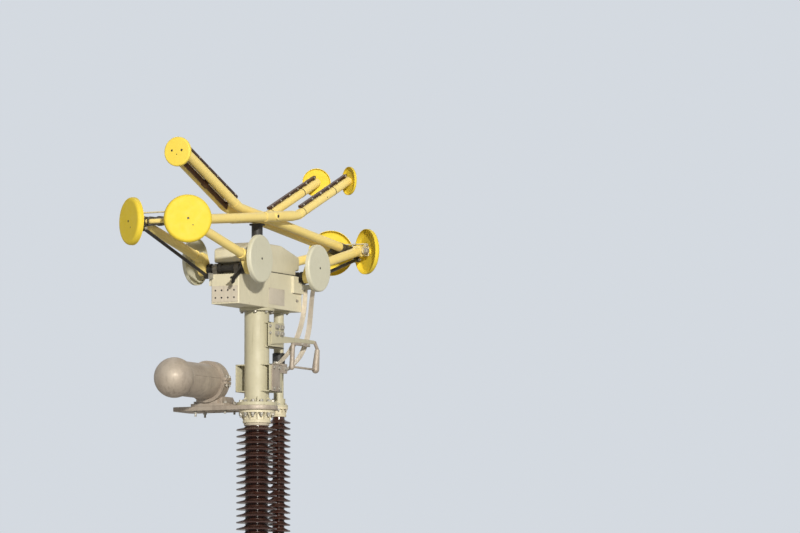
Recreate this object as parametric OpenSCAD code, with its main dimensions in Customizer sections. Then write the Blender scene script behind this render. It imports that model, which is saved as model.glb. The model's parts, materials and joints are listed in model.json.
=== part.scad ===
// Pantograph disconnector: two crossed pairs of folding arms on a post insulator.
// Millimetres. +X is the way the arms spread, +Z is up, and the origin is on the
// ground under the axis of the post insulator. The arms are drawn folded, switch open.
// Heights in the head are given from the level of the grey discs' centres.

/* [Stand] */
// Side of the square base plate
base_side = 520; // [460:10:600]
// Spacing of the anchor bolts along X and along Y
anchor_pitch = 420; // [360:10:500]
// Diameter of the anchor bolt holes
anchor_hole_d = 30; // [22:1:36]
// Thickness of the base plate
base_t = 25; // [20:1:40]
// Width and depth of the H section column
column_side = 240; // [200:10:300]
// Height of the column's head plate above ground
column_top_z = 2190; // [1800:10:2600]
// Height of the frame that carries both insulators
frame_h = 120; // [100:5:160]

/* [Insulators] */
// Height of one of the two stacked units of the post
post_unit_h = 1150; // [1000:10:1300]
// Diameter of the post's porcelain core
post_core_d = 160; // [130:5:190]
// Diameter of the post's sheds
post_shed_d = 293; // [260:1:320]
// Number of sheds on one post unit
post_sheds = 20; // [14:1:22]
// Distance from the post to the turning insulator
rotary_x = 330; // [300:5:380]
// Diameter of the turning insulator's core
rotary_core_d = 85; // [70:1:100]
// Diameter of the turning insulator's sheds
rotary_shed_d = 175; // [150:1:190]
// Number of sheds on one unit of the turning insulator
rotary_sheds = 22; // [16:1:23]

/* [Head] */
// Diameter of the tube between the post and the gear housing
neck_d = 172; // [150:2:200]
// Half length of the gear housing along X
housing_half_x = 475; // [465:5:520]
// Half width of the gear housing along Y
housing_half_y = 112; // [100:1:116]
// Depth of the gear housing below the discs' centres
housing_bottom = 311; // [300:1:330]
// Top seam of the gear housing below the discs' centres
housing_seam = 57; // [54:1:64]
// Half length of the hood along X
hood_half_x = 444; // [430:1:460]
// Height of the hood above the seam
hood_h = 204; // [190:1:215]

/* [Arms] */
// Distance of each hinge shaft from the middle
hinge_x = 440; // [436:1:446]
// Hinge shafts below the discs' centres
pivot_drop = 60; // [56:1:64]
// Distance of the folded elbows from the middle
elbow_x = 1356; // [1340:1:1370]
// Height of the folded elbows above the discs' centres
elbow_up = 203; // [195:1:212]
// Height of the crossing pivot above the discs' centres
crossing_h = 342; // [335:1:350]
// Outer diameter of the arm tubes
arm_d = 66; // [60:1:66]
// Side position of the left lower arms
left_arm_y = 186; // [184:1:190]
// Side position of the right lower arms at their elbows
right_elbow_y = 112; // [110:1:116]
// Side position of the outer pair of upper arms
outer_y = 128; // [127:1:130]
// Side position of the inner pair of upper arms
inner_y = 52; // [50:1:53]
// Straight length of an upper arm past the crossing pivot
past_crossing = 370; // [340:5:400]
// Bend of an upper arm before its contact section
tip_bend = 16.5; // [14:0.5:20]
// Length of a contact section
contact_len = 850; // [800:5:900]

/* [Discs] */
// Diameter of the elbow discs
elbow_disc_d = 334; // [300:1:340]
// Diameter of the grey discs over the hinge shafts
hinge_disc_d = 340; // [300:1:350]
// Diameter of the discs at the arm tips
tip_disc_d = 208; // [190:1:220]
// Angle that a disc turns out to its side
disc_splay = 35; // [30:1:38]

/* [Bus connection] */
// Diameter of the bus tube
bus_d = 250; // [200:5:260]
// Side position of the bus tube
bus_y = 300; // [290:5:340]
// Length of the dead end of the bus tube from the clamp to the ball
bus_end_len = 715; // [500:5:800]

/* [Hidden] */
$fn = 48;

// Heights above ground
frame_z = column_top_z;
post_z = frame_z + frame_h;
plate_z = post_z + 2 * post_unit_h;
plate_t = 30;
neck_flange_z = plate_z + plate_t;
neck_len = 699;
head_z = neck_flange_z + neck_len + housing_bottom;
pivot_z = head_z - pivot_drop;
crossing_z = head_z + crossing_h;
elbow_z = head_z + elbow_up;
cap_h = 92;

// Heights of the turning insulator
rotary_z = post_z + 130;
rotary_top = plate_z + 40;
rotary_unit_h = (rotary_top - rotary_z) / 2;
coupling_h = 70;

// Lengths and folded angles of the arms
arm_r = arm_d / 2;
sleeve_r = arm_r + 2;
upper_len = norm([elbow_x, crossing_h - elbow_up]);
upper_rest = atan2(crossing_h - elbow_up, elbow_x);
tip_angle = upper_rest + tip_bend;
shaft_r = 28;
pin_r = 16;
fork_len = 190;

// Shoulders of the gear housing, cut down where the hinge shafts pass under the hood
shoulder_x = 392;
shoulder_drop = 100;
hood_lift = 16;

// Brackets welded to the sides of the neck
bracket_y = 118;
low_bracket = [-62, 125, -911, -714];
top_bracket = [-40, 187, -593, -412];

// Pivot offset that keeps the elbow brackets upright, and the rods' side positions
guide_off = [64, -54];
left_rod_y = 128;
right_rod_y = -68;
gap = 0.05;

// Tube along the line from p to q
module bar(p, q, r) {
    v = q - p;
    translate(p)
        rotate([0, acos(v[2] / norm(v)), atan2(v[1], v[0])])
            cylinder(h = norm(v), r = r);
}

// Cylinder along Y, centred at side position y
module y_round(x, y, z, len, r) {
    translate([x, y + len / 2, z]) rotate([90, 0, 0]) cylinder(h = len, r = r);
}

// Cylinder along X from x0 to x1
module x_round(x0, x1, r) {
    translate([x0, 0, 0]) rotate([0, 90, 0]) cylinder(h = x1 - x0, r = r);
}

// Outline in the XZ plane, extruded along Y from y0 to y1
module side_plate(y0, y1) {
    translate([0, y1, 0]) rotate([90, 0, 0]) linear_extrude(y1 - y0) children();
}

// Ring of n copies
module ring(n, start = 0) {
    for (i = [0:n - 1]) rotate([0, 0, start + i * 360 / n]) children();
}

// Rectangle with rounded corners, centred
module rounded_rect(w, h, r) {
    square([w - 2 * r, h], center = true);
    square([w, h - 2 * r], center = true);
    for (x = [-1, 1], y = [-1, 1])
        translate([x * (w / 2 - r), y * (h / 2 - r)]) circle(r = r);
}

// Section of a rolled H beam with its root fillets
module h_section(side, flange, web, root) {
    for (s = [-1, 1]) translate([0, s * (side - flange) / 2]) square([side, flange], center = true);
    square([web, side - 2], center = true);
    for (a = [0, 1], b = [0, 1]) mirror([a, 0]) mirror([0, b])
        translate([web / 2, side / 2 - flange - root]) difference() {
            square(root);
            translate([root, 0]) circle(r = root);
        }
}

// Points of one shed, from its underside to its top
function shed(z, core, rim, pitch) = [
    [core, z],
    [core + 3, z + pitch * 0.16],
    [rim - 9, z + pitch * 0.14],
    [rim - 3, z + pitch * 0.10],
    [rim, z + pitch * 0.18],
    [rim - 2, z + pitch * 0.28],
    [core + 12, z + pitch * 0.58],
    [core + 2, z + pitch * 0.74]];

// Porcelain body of n sheds standing on z
module porcelain(z, n, core, rim, pitch, end) {
    rows = [for (i = [0:n - 1]) each shed(z + end + i * pitch, core, rim, pitch)];
    top = z + 2 * end + n * pitch;
    rotate_extrude($fn = 64) polygon(concat([[0, z], [core, z]], rows, [[core, top], [0, top]]));
}

// Cast cap: bolting flange at z = 0, filleted neck, socket with a lip, ribs between bolts
module insulator_cap(flange_r, socket_r, h, ribs) {
    flange_t = h * 0.22;
    fillet = h * 0.12;
    neck_r = socket_r - 7;
    rotate_extrude($fn = 64) polygon(concat(
        [[0, 0], [flange_r, 0], [flange_r, flange_t]],
        [for (a = [0:-30:-90]) [neck_r + fillet + fillet * sin(a), flange_t + fillet - fillet * cos(a)]],
        [[socket_r - 3, h * 0.78], [socket_r, h * 0.82], [socket_r, h], [0, h]]));
    ring(ribs) side_plate(-5, 5)
        polygon([[neck_r - 6, 1], [flange_r - 4, 1], [flange_r - 4, flange_t + 3], [socket_r - 4, h * 0.8],
            [neck_r - 6, h * 0.8]]);
}

module base_plate() {
    gusset_h = 150;
    gusset_reach = 110;
    color("#8a9184") {
        difference() {
            linear_extrude(base_t) rounded_rect(base_side, base_side, 12);
            for (x = [-1, 1], y = [-1, 1])
                translate([x * anchor_pitch / 2, y * anchor_pitch / 2, -1])
                    cylinder(h = base_t + 2, d = anchor_hole_d);
        }
        for (side = [-1, 1], x = [-70, 70])
            translate([x + 6, side * column_side / 2, base_t]) rotate([90, 0, -90])
                linear_extrude(12) polygon([[0, 0], [-side * gusset_reach, 0],
                    [-side * gusset_reach, 20], [0, gusset_h]]);
    }
}

module support_column() {
    head_t = 20;
    head_side = 400;
    h = column_top_z - head_t - base_t;
    color("#a3a998") translate([0, 0, base_t]) {
        linear_extrude(h) h_section(column_side, 17, 10, 21);
        translate([0, 0, h]) linear_extrude(head_t) rounded_rect(head_side, head_side, 10);
        for (a = [0, 180], x = [-70, 70])
            rotate([0, 0, a]) translate([x - 5, column_side / 2 - 1, h]) rotate([90, 0, 90])
                linear_extrude(10) polygon([[0, 1], [0, -130], [12, -130], [78, -14], [78, 1]]);
    }
}

module base_frame() {
    x0 = -235;
    x1 = 500;
    wall = 9;
    top_t = 12;
    web_y = 115;
    channel_h = frame_h - top_t;
    shaft_hole_d = 90;
    color("#a3a998") translate([0, 0, frame_z]) difference() {
        union() {
            for (s = [0, 1]) mirror([0, s, 0]) translate([x0, 0, 0]) rotate([90, 0, 90])
                linear_extrude(x1 - x0) polygon([[web_y, 0], [web_y, channel_h + 1],
                    [web_y - wall, channel_h + 1], [web_y - wall, wall], [web_y - 55, wall],
                    [web_y - 60, wall - 5], [web_y - 60, 0]]);
            translate([x0, -web_y - 25, channel_h]) cube([x1 - x0, 2 * web_y + 50, top_t]);
            for (x = [x0 + 4, 165, x1 - 12])
                translate([x, -web_y + 2, 2]) cube([8, 2 * web_y - 4, channel_h]);
        }
        translate([rotary_x, 0, -1]) cylinder(h = frame_h + 2, d = shaft_hole_d);
    }
}

module post_base_flange() {
    color("#d9d2b4") translate([0, 0, post_z]) insulator_cap(132, 102, cap_h, 8);
}

module post_body(z) {
    end = 12;
    body = post_unit_h - 2 * cap_h;
    pitch = (body - 2 * end) / post_sheds;
    color("#3a1a14") porcelain(z + cap_h, post_sheds, post_core_d / 2, post_shed_d / 2, pitch, end);
}

module lower_post_insulator() post_body(post_z);

module upper_post_insulator() post_body(post_z + post_unit_h);

module post_middle_flanges() {
    color("#d9d2b4") translate([0, 0, post_z + post_unit_h]) {
        insulator_cap(132, 102, cap_h, 8);
        mirror([0, 0, 1]) insulator_cap(132, 102, cap_h, 8);
    }
}

module post_top_cap() {
    color("#d9d2b4") translate([0, 0, plate_z]) mirror([0, 0, 1]) insulator_cap(128, 100, cap_h, 12);
}

// Cast plate under the neck that reaches out to the bus tube, ribbed below
module terminal_plate() {
    half = 150;
    reach = 617;
    pocket_y = [172, 415];
    color("#8f8f8c") translate([0, 0, plate_z]) difference() {
        linear_extrude(plate_t) translate([0, (reach - half) / 2]) rounded_rect(2 * half, half + reach, 28);
        for (x = [-1, 1]) translate([x * 72 - 58, pocket_y[0], -1])
            cube([116, pocket_y[1] - pocket_y[0], 17]);
        for (x = [-1, 1], y = [470, 570])
            translate([x * 100, y, -1]) cylinder(h = plate_t + 2, d = 18);
    }
}

// Channel bracket on the -Y side of the neck: two shelves and a face plate
module neck_bracket(box) {
    wall = 8;
    for (z = [box[2], box[3] - wall])
        translate([box[0], -bracket_y, z]) cube([box[1] - box[0], bracket_y - 40, wall]);
    translate([box[0], -bracket_y, box[2]]) cube([box[1] - box[0], wall, box[3] - box[2]]);
}

module head_column() {
    flange_t = 25;
    top_t = 22;
    color("#a9ae9c") difference() {
        union() {
            translate([0, 0, neck_flange_z]) cylinder(h = flange_t, d = 290);
            translate([0, 0, neck_flange_z]) cylinder(h = neck_len, d = neck_d);
            translate([0, 0, neck_flange_z + neck_len - top_t]) cylinder(h = top_t, d = 250);
            translate([0, 0, neck_flange_z + flange_t]) ring(6, 30) side_plate(-5, 5)
                polygon([[neck_d / 2 - 4, -1], [neck_d / 2 + 46, -1], [neck_d / 2 + 46, 8],
                    [neck_d / 2 + 6, 62], [neck_d / 2 - 4, 62]]);
            translate([0, 0, head_z]) {
                neck_bracket(low_bracket);
                mirror([0, 1, 0]) neck_bracket(low_bracket);
                neck_bracket(top_bracket);
            }
        }
        for (i = [-1, 0, 1]) translate([-30, bracket_y + 2, head_z - 812 + i * 55])
            rotate([90, 0, 0]) cylinder(h = 16, d = 14);
    }
}

module gear_housing() {
    h = housing_bottom - housing_seam;
    shaft_hole_d = 84;
    groove = 3;
    pad_y = 20;
    color("#a9ae9c") translate([0, 0, head_z]) {
        difference() {
            translate([0, 0, -housing_bottom]) linear_extrude(h)
                rounded_rect(2 * housing_half_x, 2 * housing_half_y, 9);
            translate([rotary_x, 0, -housing_bottom - 1]) cylinder(h = 60, d = shaft_hole_d);
            for (s = [-1, 1]) translate([s * (shoulder_x + 60) - 60, -housing_half_y - 1, -shoulder_drop])
                cube([120, 2 * housing_half_y + 2, shoulder_drop]);
            for (x = [-325, -30], s = [-1, 1])
                translate([x, s * housing_half_y - groove / 2, -housing_bottom - 1])
                    cube([groove, groove, h + 2]);
        }
        for (a = [0, 180]) rotate([0, 0, a]) side_plate(-housing_half_y - pad_y, -housing_half_y + 2)
            polygon([[315, -181], [466, -181], [466, -108], [385, -108], [385, -62], [315, -62]]);
    }
}

// Hood with sloping ends and rounded long edges, cut up at its ends over the shafts
module housing_hood() {
    y_half = housing_half_y - 4;
    top = hood_h - housing_seam;
    flat = 174;
    end_h = 83;
    edge = 14;
    color("#a9ae9c") translate([0, 0, head_z]) intersection() {
        side_plate(-y_half, y_half) polygon([[-shoulder_x, -housing_seam], [shoulder_x, -housing_seam],
            [shoulder_x, -hood_lift], [hood_half_x, -hood_lift], [hood_half_x, end_h - 10],
            [hood_half_x - 10, end_h + 2], [flat, top], [-flat, top],
            [-hood_half_x + 10, end_h + 2], [-hood_half_x, end_h - 10], [-hood_half_x, -hood_lift],
            [-shoulder_x, -hood_lift]]);
        union() {
            translate([-500, -y_half, -housing_seam]) cube([1000, 2 * y_half, end_h + housing_seam - 30]);
            translate([-500, 0, (top + end_h) / 2 - 15]) rotate([90, 0, 90]) linear_extrude(1000)
                rounded_rect(2 * y_half, top - end_h + 34, edge);
        }
    }
}

module end_cover() {
    t = 5;
    z = [-300, -185];
    color("#b5b9a9") translate([-housing_half_x - t, 0, head_z]) difference() {
        translate([0, -102, z[0]]) cube([t, 204, z[1] - z[0]]);
        for (y = [-75:50:75], row = [-269, -217])
            translate([-1, y, row]) rotate([0, 90, 0]) cylinder(h = 3, d = 11);
    }
}

// Pillow blocks on the shoulders of the gear housing
module shaft_bearings() {
    outer_r = 38;
    y_mid = 86;
    width = 34;
    color("#8f9488") for (x = [-1, 1], y = [-1, 1]) difference() {
        union() {
            translate([x * hinge_x - outer_r + 5, y * y_mid - width / 2, head_z - shoulder_drop])
                cube([2 * outer_r - 10, width, shoulder_drop - pivot_drop]);
            y_round(x * hinge_x, y * y_mid, pivot_z, width, outer_r);
        }
        y_round(x * hinge_x, y * y_mid, pivot_z, width + 4, shaft_r + gap);
    }
}

// Lugs on the housing's ends, with the pins that the guide rods swing on
module guide_pivots() {
    z = pivot_z + guide_off[1];
    reach = hinge_x + guide_off[0] + 20 - housing_half_x;
    color("#8f9488") for (lug = [[-1, left_rod_y - 34, 1], [1, right_rod_y + 18, -1]])
        mirror([lug[0] < 0 ? 1 : 0, 0, 0]) {
            translate([housing_half_x, lug[1], z - 20]) cube([reach, 14, 40]);
            y_round(hinge_x + guide_off[0], lug[1] + (lug[2] > 0 ? 33 : -19), z, 40, 9);
        }
}

module rest_post() {
    base = head_z + hood_h - housing_seam;
    top = crossing_z - sleeve_r - 11;
    pad_t = 14;
    color("#262626") {
        translate([0, 0, base]) cylinder(h = top - base - 5, d = 80);
        translate([0, 0, base]) cylinder(h = 12, d = 128);
        translate([0, 0, top - pad_t]) linear_extrude(pad_t) rounded_rect(64, 140, 8);
    }
}

// Tapered arm bolted to the upper bracket, over the flexible straps
module guide_bracket() {
    t = 14;
    color("#a9ae9c") translate([0, 0, head_z]) side_plate(-bracket_y - t, -bracket_y)
        polygon([[70, -565], [650, -514], [650, -489], [192, -512], [187, -415], [70, -415]]);
}

// Loop hung under the guide bracket's arm: two round legs with a thin rod between them
module guard_loop() {
    leg_r = 17;
    leg = 190;
    y = -bracket_y - 7;
    slope = atan2(51, 580);
    spread = [232, 614];
    color("#8f9488") translate([70, y, head_z - 565]) rotate([0, -slope, 0]) {
        translate([spread[0] - 24, -17, -14]) cube([spread[1] - spread[0] + 48, 34, 14]);
        for (x = spread) translate([x, 0, -leg]) rotate_extrude() polygon(concat(
            [[0, leg - 6], [0, 0]], [for (a = [15:15:90]) [leg_r * sin(a), leg_r - leg_r * cos(a)]],
            [[leg_r, leg - 6]]));
        translate([0, 0, -leg + 26]) x_round(spread[0], spread[1], 8);
    }
}

// Contact plate on the lower bracket with the block that the straps end on
module strap_terminal() {
    t = 8;
    color("#8f8f8c") translate([0, 0, head_z]) {
        translate([-30, -bracket_y - t, -905]) cube([157, t, 185]);
        translate([125, -bracket_y - t, -772]) cube([62, bracket_y + t - 22, 68]);
    }
}

// Cubic curve through the plane of a strap
function curve(p, t) = pow(1 - t, 3) * p[0] + 3 * pow(1 - t, 2) * t * p[1]
    + 3 * (1 - t) * t * t * p[2] + t * t * t * p[3];
function slope_of(p, t) = 3 * pow(1 - t, 2) * (p[1] - p[0]) + 6 * (1 - t) * t * (p[2] - p[1])
    + 3 * t * t * (p[3] - p[2]);
function beside(p, t, d) = curve(p, t) + d * [-slope_of(p, t)[1], slope_of(p, t)[0]]
    / norm(slope_of(p, t));

// Band of width w along the curve p in the XZ plane, its side position following the curve side
module strap(p, side, w) {
    steps = 18;
    t = 3;
    last = 4 * steps;
    corners = [for (i = [0:steps])
        let (u = i / steps, top = beside(p, u, t), under = beside(p, u, -t), y = curve(side, u))
        each [[top[0], y - w / 2, top[1]], [top[0], y + w / 2, top[1]],
            [under[0], y + w / 2, under[1]], [under[0], y - w / 2, under[1]]]];
    walls = [for (i = [0:steps - 1], k = [0:3])
        let (a = 4 * i + k, b = 4 * i + (k + 1) % 4) each [[a, b, b + 4], [a, b + 4, a + 4]]];
    polyhedron(corners, concat(walls, [[3, 2, 1, 0], [last, last + 1, last + 2, last + 3]]));
}

strap_w = 34;
short_strap = [[473, -118], [500, -380], [540, -701], [136, -700.9]];
short_side = [-138, -75, -66, -66];
long_strap = [[473, -118], [480, -330], [930, -870], [136, -775.1]];
long_side = [-203, -60, -66, -62];

module flexible_straps() {
    color("#c9bfa9") translate([0, 0, head_z]) {
        strap(short_strap, short_side, strap_w);
        strap(long_strap, long_side, strap_w);
    }
}

// Bar on the housing's side pad with the plates that clamp the upper ends of the straps
module strap_clamps() {
    color("#8f9488") translate([0, 0, head_z]) {
        translate([432, -228, -150]) cube([38, 96, 34]);
        for (y = [-138, -203]) translate([480.5, y - 22, -146]) cube([8, 44, 30]);
    }
}

module bus_tube_end() {
    z = plate_z + plate_t + 168;
    ball_r = bus_d / 2 + 12;
    color("#9a9790") translate([0, bus_y, z]) rotate([0, -90, 0]) rotate_extrude($fn = 72)
        polygon(concat([[0, -70], [bus_d / 2 - 4, -70], [bus_d / 2, -66]],
            [[bus_d / 2, bus_end_len - 60]],
            [for (a = [-24:12:84]) [ball_r * cos(a), bus_end_len + ball_r * sin(a)]],
            [[0, bus_end_len + ball_r]]));
}

// Two halves round the tube on a foot that is bolted to the terminal plate
module bus_clamp() {
    r = bus_d / 2;
    wall = 22;
    split = 8;
    foot = 168;
    color("#9a9790") translate([0, bus_y, plate_z + plate_t + 168]) difference() {
        union() {
            x_round(-62, 62, r + wall);
            for (y = [-1, 1]) translate([-62, y * (r + wall + 2) - 22, -26]) cube([124, 44, 52]);
            translate([-80, 0, 0]) rotate([90, 0, 90]) linear_extrude(160)
                polygon([[-120, -foot], [120, -foot], [120, -foot + 22], [84, -foot + 30],
                    [70, -r + 12], [-70, -r + 12], [-84, -foot + 30], [-120, -foot + 22]]);
        }
        x_round(-90, 90, r + gap);
        translate([-90, -r - 80, -split / 2]) cube([180, 2 * r + 160, split]);
    }
}

module drive_box() {
    box = [380, 380, 620];
    corner = [150, -190, 900];
    color("#a9ae9c") {
        translate(corner + [box[0] / 2, box[1] / 2, 0]) linear_extrude(box[2])
            rounded_rect(box[0], box[1], 14);
        translate([0, 0, corner[2] + box[2]]) side_plate(-205, 205)
            polygon([[138, -6], [542, -6], [542, 8], [340, 20], [138, 8]]);
        for (z = [980, 1400]) translate([column_side / 2, -60, z]) cube([32, 120, 60]);
    }
}

module drive_box_door() {
    color("#a9ae9c") translate([340, -190, 1210]) rotate([90, 0, 0]) linear_extrude(14)
        rounded_rect(330, 570, 12);
}

module rotary_bearing() {
    color("#8f9488") translate([rotary_x, 0, post_z]) difference() {
        rotate_extrude($fn = 64) polygon([[0, 0], [95, 0], [95, 16], [68, 16], [60, 26], [60, 98],
            [54, 104], [0, 104]]);
        translate([0, 0, -1]) cylinder(h = 106, d = 60.2);
    }
}

module drive_tube() {
    bottom = 1546;
    color("#8f9488") translate([rotary_x, 0, 0]) {
        translate([0, 0, bottom]) cylinder(h = rotary_z - bottom, d = 60);
        translate([0, 0, bottom]) cylinder(h = 60, d = 110);
        translate([0, 0, rotary_z - 16]) cylinder(h = 16, d = 150);
    }
}

module rotary_body(z) {
    end = 8;
    body = rotary_unit_h - 2 * coupling_h;
    pitch = (body - 2 * end) / rotary_sheds;
    color("#3a1a14") translate([rotary_x, 0, 0])
        porcelain(z + coupling_h, rotary_sheds, rotary_core_d / 2, rotary_shed_d / 2, pitch, end);
}

module lower_rotary_insulator() rotary_body(rotary_z);

module upper_rotary_insulator() rotary_body(rotary_z + rotary_unit_h);

module rotary_couplings() {
    color("#d9d2b4") translate([rotary_x, 0, rotary_z]) {
        insulator_cap(75, 56, coupling_h, 6);
        translate([0, 0, rotary_unit_h]) insulator_cap(75, 56, coupling_h, 6);
        translate([0, 0, rotary_unit_h]) mirror([0, 0, 1]) insulator_cap(75, 56, coupling_h, 6);
        translate([0, 0, 2 * rotary_unit_h]) mirror([0, 0, 1]) insulator_cap(67, 55, coupling_h, 6);
    }
}

module head_drive_shaft() {
    color("#a9ae9c") translate([rotary_x, 0, rotary_top]) {
        cylinder(h = 14, d = 134);
        cylinder(h = 60, d = 96);
        cylinder(h = head_z - housing_bottom - rotary_top + 30, d = 72);
    }
}

// Cross shaft of one side with its collars
module hinge_shaft() {
    y_round(hinge_x, 0, pivot_z, 448, shaft_r);
    for (s = [-1, 1]) y_round(hinge_x, s * 137, pivot_z, 26, 40);
    for (s = [-1, 1]) y_round(hinge_x, s * 52, pivot_z, 22, 34);
}

// Lower arm: hub on the shaft, cast root, tube and elbow eye
module lower_arm(hub_y, elbow_y) {
    root = [hinge_x, hub_y, head_z];
    elbow = [elbow_x, elbow_y, elbow_z];
    along = (elbow - root) / norm(elbow - root);
    difference() {
        union() {
            y_round(hinge_x, hub_y, pivot_z, 60, 46);
            translate([hinge_x, 0, head_z]) side_plate(hub_y - 30, hub_y + 30)
                polygon([[86, -20], [74, 54], [10, 42], [-34, -28], [-30, -80], [36, -90]]);
            bar(root + 70 * along, elbow - 30 * along, arm_r);
            bar(root + 66 * along, root + 150 * along, arm_r + 5);
            bar(elbow - 112 * along, elbow - 26 * along, arm_r + 1);
            y_round(elbow_x, elbow_y, elbow_z, 56, 40);
        }
        y_round(hinge_x, hub_y, pivot_z, 90, shaft_r + gap);
        y_round(elbow_x, elbow_y, elbow_z, 160, pin_r + 0.2);
    }
}

// Both lower arms of one side with the pin through their elbows
module lower_arms(hub_y, elbow_y) {
    for (s = [-1, 1]) lower_arm(s * hub_y, s * elbow_y);
    y_round(elbow_x, 0, elbow_z, 2 * (elbow_y + 54), pin_r);
}

// Dished disc facing +Z, its rim turned down by depth, round outer edge
module dished_disc(d, depth, edge) {
    t = 4;
    r = d / 2;
    rotate_extrude($fn = 72) polygon(concat(
        [[0, 0]],
        [for (a = [90:-15:0]) [r - edge + edge * cos(a), -edge + edge * sin(a)]],
        [[r, -depth], [r - t, -depth]],
        [for (a = [0:15:90]) [r - edge + (edge - t) * cos(a), -edge + (edge - t) * sin(a)]],
        [[0, -t]]));
}

module hinge_discs() {
    face_y = 278;
    boss = face_y - 2 - left_arm_y - 30;
    for (s = [-1, 1]) translate([hinge_x, s * face_y, head_z]) rotate([-s * 90, 0, 0]) {
        dished_disc(hinge_disc_d, 32, 14);
        translate([0, 0, -2 - boss]) cylinder(h = boss, r = 24);
    }
}

// Places its children at side position y on the left elbow, +X along the upper arm
module along_arm(y) {
    translate([-elbow_x, y, elbow_z]) rotate([0, -upper_rest, 0]) children();
}

// The same at the knee where the arm bends, +X along the contact section
module along_contact(y) {
    along_arm(y) translate([upper_len + past_crossing, 0, 0]) rotate([0, -tip_bend, 0]) children();
}

// Tube of an upper arm of the left elbow, with its sleeves, bend and contact section
module upper_arm(y) {
    bend_r = 260;
    cut = bend_r * tan(tip_bend / 2);
    knee = upper_len + past_crossing;
    along_arm(y) {
        x_round(fork_len, knee - cut, arm_r);
        x_round(upper_len - 70, upper_len + 70, sleeve_r);
        translate([knee - cut, 0, bend_r]) rotate([90, 0, 0]) rotate([0, 0, -90])
            rotate_extrude(angle = tip_bend) translate([bend_r, 0]) circle(r = arm_r);
    }
    along_contact(y) {
        x_round(cut, contact_len, arm_r);
        x_round(cut - 12, cut + 38, sleeve_r);
    }
}

// Clevis of two plates that carries the arm on the elbow pin
module arm_fork(y) {
    plate_y = 12;
    wall = 6;
    along_arm(y) difference() {
        union() {
            for (s = [0, 1]) mirror([0, s, 0]) side_plate(plate_y, plate_y + wall) {
                circle(r = 34);
                polygon([[0, -34], [0, 34], [90, 28], [fork_len - 20, 28], [fork_len - 20, -28], [90, -28]]);
            }
            x_round(fork_len - 34, fork_len, sleeve_r);
        }
        y_round(0, 0, 0, 80, pin_r + 0.2);
    }
}

// Contact bar along the top of a contact section, on six seats
module contact_bar(y) {
    pitch = 140;
    along_contact(y) {
        translate([62, -12, arm_r + 6]) cube([770, 24, 18]);
        for (i = [0:5]) translate([92 + i * pitch, -10, arm_r]) cube([26, 20, 8]);
    }
}

// Puts its children on the tip of an arm, +Z out of the face of the disc
module at_tip(y, splay) {
    along_contact(y) translate([contact_len, 0, 0]) rotate([0, tip_angle, 0])
        rotate([0, 0, splay]) rotate([0, 90, 0]) translate([0, 0, 26]) children();
}

module outer_tip(y, splay) {
    at_tip(y, splay) dished_disc(tip_disc_d, 22, 12);
    difference() {
        at_tip(y, splay) translate([0, 0, -62]) cylinder(h = 60, r = 22);
        along_contact(y) translate([contact_len - 200, -100, -100]) cube([200, 200, 200]);
    }
}

module elbow_bracket(elbow_y, rod_y) {
    wall = 6;
    inner = elbow_y + 41;
    bar_z = 52;
    for (s = [0, 1]) mirror([0, s, 0]) {
        difference() {
            translate([elbow_x, 0, elbow_z]) side_plate(inner, inner + wall)
                polygon([[-24, -14], [-24, 14], [-10, 26], [26, 60], [57, 60], [57, -32], [20, -32]]);
            y_round(elbow_x, inner + wall / 2, elbow_z, 20, pin_r + 0.2);
        }
        translate([elbow_x + 75, elbow_y + 45, elbow_z]) rotate([0, 0, disc_splay])
            translate([-20, -32, -34]) cube([8, 64, 68]);
    }
    translate([elbow_x + 30, -inner - wall, elbow_z + bar_z]) cube([34, 2 * (inner + wall), 8]);
    translate([elbow_x + 50, rod_y + 18, elbow_z - 76]) cube([28, 8, bar_z + 80]);
    y_round(elbow_x + guide_off[0], rod_y + 1, elbow_z + guide_off[1], 38, 9);
}

module elbow_discs(elbow_y) {
    for (s = [-1, 1]) translate([elbow_x + 75, s * (elbow_y + 45), elbow_z])
        rotate([0, 0, s * disc_splay]) rotate([0, 90, 0]) translate([0, 0, 12]) {
            dished_disc(elbow_disc_d, 41, 24);
            translate([0, 0, -24]) cylinder(h = 22, r = 24);
        }
}

module guide_rod(y) {
    a = [hinge_x + guide_off[0], y, pivot_z + guide_off[1]];
    b = [elbow_x + guide_off[0], y, elbow_z + guide_off[1]];
    along = (b - a) / norm(b - a);
    bar(a + 18 * along, b - 18 * along, 12);
    for (p = [a, b]) difference() {
        y_round(p[0], p[1], p[2], 30, 20);
        y_round(p[0], p[1], p[2], 60, 9.3);
    }
}

module left_hinge_shaft() color("#4a4a46") mirror([1, 0, 0]) hinge_shaft();

module right_hinge_shaft() color("#4a4a46") hinge_shaft();

module left_lower_arms() color("#e2bf5b") mirror([1, 0, 0]) lower_arms(left_arm_y, left_arm_y);

module right_lower_arms() color("#e2bf5b") lower_arms(left_arm_y, right_elbow_y);

module left_hinge_discs() color("#b9beb0") mirror([1, 0, 0]) hinge_discs();

module right_hinge_discs() color("#b9beb0") hinge_discs();

module outer_arms() color("#e2bf5b") for (s = [-1, 1]) upper_arm(s * outer_y);

module inner_arms() color("#e2bf5b") mirror([1, 0, 0]) for (s = [-1, 1]) upper_arm(s * inner_y);

module outer_arm_forks() color("#9a9790") for (s = [-1, 1]) arm_fork(s * outer_y);

module inner_arm_forks() color("#9a9790") mirror([1, 0, 0]) for (s = [-1, 1]) arm_fork(s * inner_y);

module outer_contact_bars() color("#5d3a24") for (s = [-1, 1]) contact_bar(s * outer_y);

module inner_contact_bars() color("#5d3a24") mirror([1, 0, 0])
    for (s = [-1, 1]) contact_bar(s * inner_y);

module outer_tip_discs() color("#f2d13a")
    for (s = [-1, 1]) outer_tip(s * outer_y, s * disc_splay);

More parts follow.
